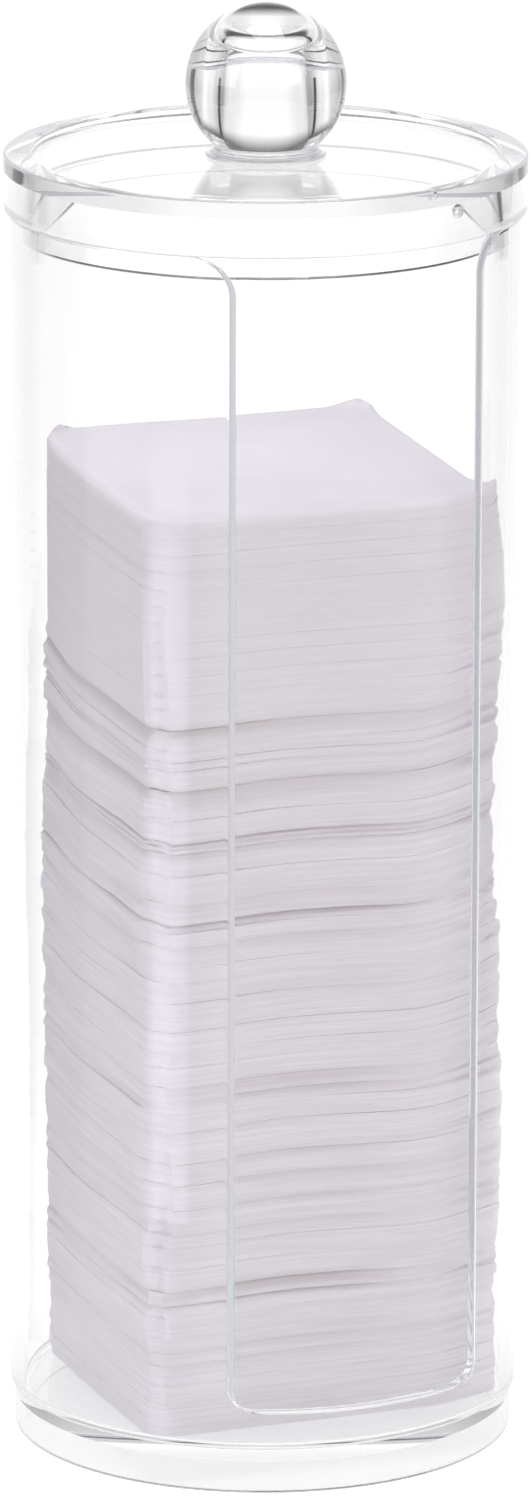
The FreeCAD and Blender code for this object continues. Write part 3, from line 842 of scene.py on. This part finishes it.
sides = add(tree, "ShaderNodeValToRGB", {0: across}, stops=[
    (spot, (level, level, level, 1))
    for spot, level in ((0.15, 1.0), (0.28, 0.87), (0.56, 0.83), (0.9, 0.45))])
ahead = add(tree, "ShaderNodeMapRange", {"Value": ahead, "From Min": 0.0, "From Max": 1.0,
                                         "To Min": 1.0, "To Max": 0.68})
picture = add(tree, "ShaderNodeMath", {0: ceiling, 1: sides}, operation="MULTIPLY")
picture = add(tree, "ShaderNodeMath", {0: picture, 1: ahead}, operation="MULTIPLY")
lighting = add(tree, "ShaderNodeBackground", {"Color": linear("#FFFFFF"), "Strength": light})
pictured = add(tree, "ShaderNodeBackground", {"Color": linear("#FFFFFF"),
                                              "Strength": picture})
plain = add(tree, "ShaderNodeBackground", {"Color": linear("#FFFFFF"), "Strength": 1.0})
polished = add(tree, "ShaderNodeMath", {0: rays["Is Glossy Ray"],
                                        1: rays["Is Transmission Ray"]},
               operation="MAXIMUM")
mixed = add(tree, "ShaderNodeMixShader", {0: polished, 1: lighting, 2: pictured})
mixed = add(tree, "ShaderNodeMixShader", {0: rays["Is Camera Ray"], 1: mixed, 2: plain})
add(tree, "ShaderNodeOutputWorld", {"Surface": mixed})


def standing_card(name, bearing, half_turn, distance, low, high, color, strength):
    """A card with soft edges that stands round the holder and is seen only in polished
    surfaces; its bearing and half its width are in degrees."""
    towards = (math.sin(math.radians(bearing)), math.cos(math.radians(bearing)), 0)
    paint = bpy.data.materials.new(name)
    paint.use_nodes = True
    tree = paint.node_tree
    tree.nodes.clear()
    height = add(tree, "ShaderNodeSeparateXYZ", {
        0: add(tree, "ShaderNodeTexCoord").outputs["Object"]}).outputs
    flat = add(tree, "ShaderNodeCombineXYZ", {"X": height["X"], "Y": height["Y"]})
    flat = add(tree, "ShaderNodeVectorMath", {0: flat}, operation="NORMALIZE")
    near = add(tree, "ShaderNodeVectorMath", {0: flat, 1: towards},
               operation="DOT_PRODUCT").outputs["Value"]
    across = add(tree, "ShaderNodeMapRange", {
        "Value": near, "From Min": math.cos(math.radians(half_turn)),
        "From Max": math.cos(math.radians(half_turn / 2))}, interpolation_type="SMOOTHSTEP")
    upwards = add(tree, "ShaderNodeMapRange", {
        "Value": height["Z"], "From Min": high, "From Max": high - 0.03})
    cover = add(tree, "ShaderNodeMath", {0: across, 1: upwards}, operation="MULTIPLY")
    glow = add(tree, "ShaderNodeEmission", {"Color": linear(color), "Strength": strength})
    open_air = add(tree, "ShaderNodeBsdfTransparent")
    mixed = add(tree, "ShaderNodeMixShader", {0: cover, 1: open_air, 2: glow})
    add(tree, "ShaderNodeOutputMaterial", {"Surface": mixed})
    form = bmesh.new()
    corners = []
    for side, level in ((-1, low), (1, low), (1, high), (-1, high)):
        turn = math.radians(bearing + half_turn * side)
        corners.append(form.verts.new((distance * math.sin(turn), distance * math.cos(turn),
                                       level)))
    form.faces.new(corners)
    mesh = bpy.data.meshes.new(name)
    form.to_mesh(mesh)
    form.free()
    card = show(name, mesh, paint)
    card.visible_camera = card.visible_diffuse = card.visible_shadow = False
    return card


standing_card("dark_card_left", -38, 5, 0.28, 0.13, 0.55, "#484848", 1.0)
standing_card("dark_card_right", 79, 6, 0.28, 0.13, 0.55, "#484848", 1.0)
strip = standing_card("bright_card", -117, 10, 0.175, 0.0, 0.135, "#EEF3FF", 3.2)
strip.visible_transmission = False

SOFTBOX_SIZE, AIM = 0.6, Vector((0, 0, 0.1))
for name, place, power in (("key_softbox", (0.25, -1.05, 0.6), 3.3),
                           ("fill_softbox", (-1.0, -0.1, 0.5), 2.9),
                           ("top_softbox", (0.0, 0.0, 1.2), 6.8)):
    lamp = bpy.data.lights.new(name, "AREA")
    lamp.shape = "SQUARE"
    lamp.size = SOFTBOX_SIZE
    lamp.energy = power
    stand = bpy.data.objects.new(name, lamp)
    stand.location = place
    stand.rotation_euler = (AIM - Vector(place)).to_track_quat("-Z", "Y").to_euler()
    stand.visible_camera = False
    stand.visible_transmission = False
    bpy.context.scene.collection.objects.link(stand)

lens = bpy.data.cameras.new("camera")
camera = bpy.data.objects.new("camera", lens)
bpy.context.scene.collection.objects.link(camera)
bpy.context.scene.camera = camera
# angles in radians, distances in metres, and the focal length in pixels of the frame
BEARING, TILT, ROLL = math.radians(-24.75), 0.2506079, 0.0029049
DISTANCE, AIM_HEIGHT, AIM_ASIDE = 1.53345, 0.105114, 0.000293
FOCAL_PIXELS, FRAME_PIXELS, SENSOR = 10184.5, 1500, 36
sideways = Vector((math.cos(BEARING), math.sin(BEARING), 0)) * AIM_ASIDE
target = Vector((0, 0, AIM_HEIGHT)) + sideways
back = Vector((math.sin(BEARING) * math.cos(TILT), -math.cos(BEARING) * math.cos(TILT),
               math.sin(TILT)))
camera.location = target + back * DISTANCE
aim = (-back).to_track_quat("-Z", "Y").to_matrix().to_4x4() @ Matrix.Rotation(ROLL, 4, "Z")
camera.rotation_euler = aim.to_euler()
lens.sensor_fit = "VERTICAL"
lens.sensor_width = lens.sensor_height = SENSOR
lens.lens = FOCAL_PIXELS / FRAME_PIXELS * SENSOR
lens.clip_start, lens.clip_end = 0.1, 30
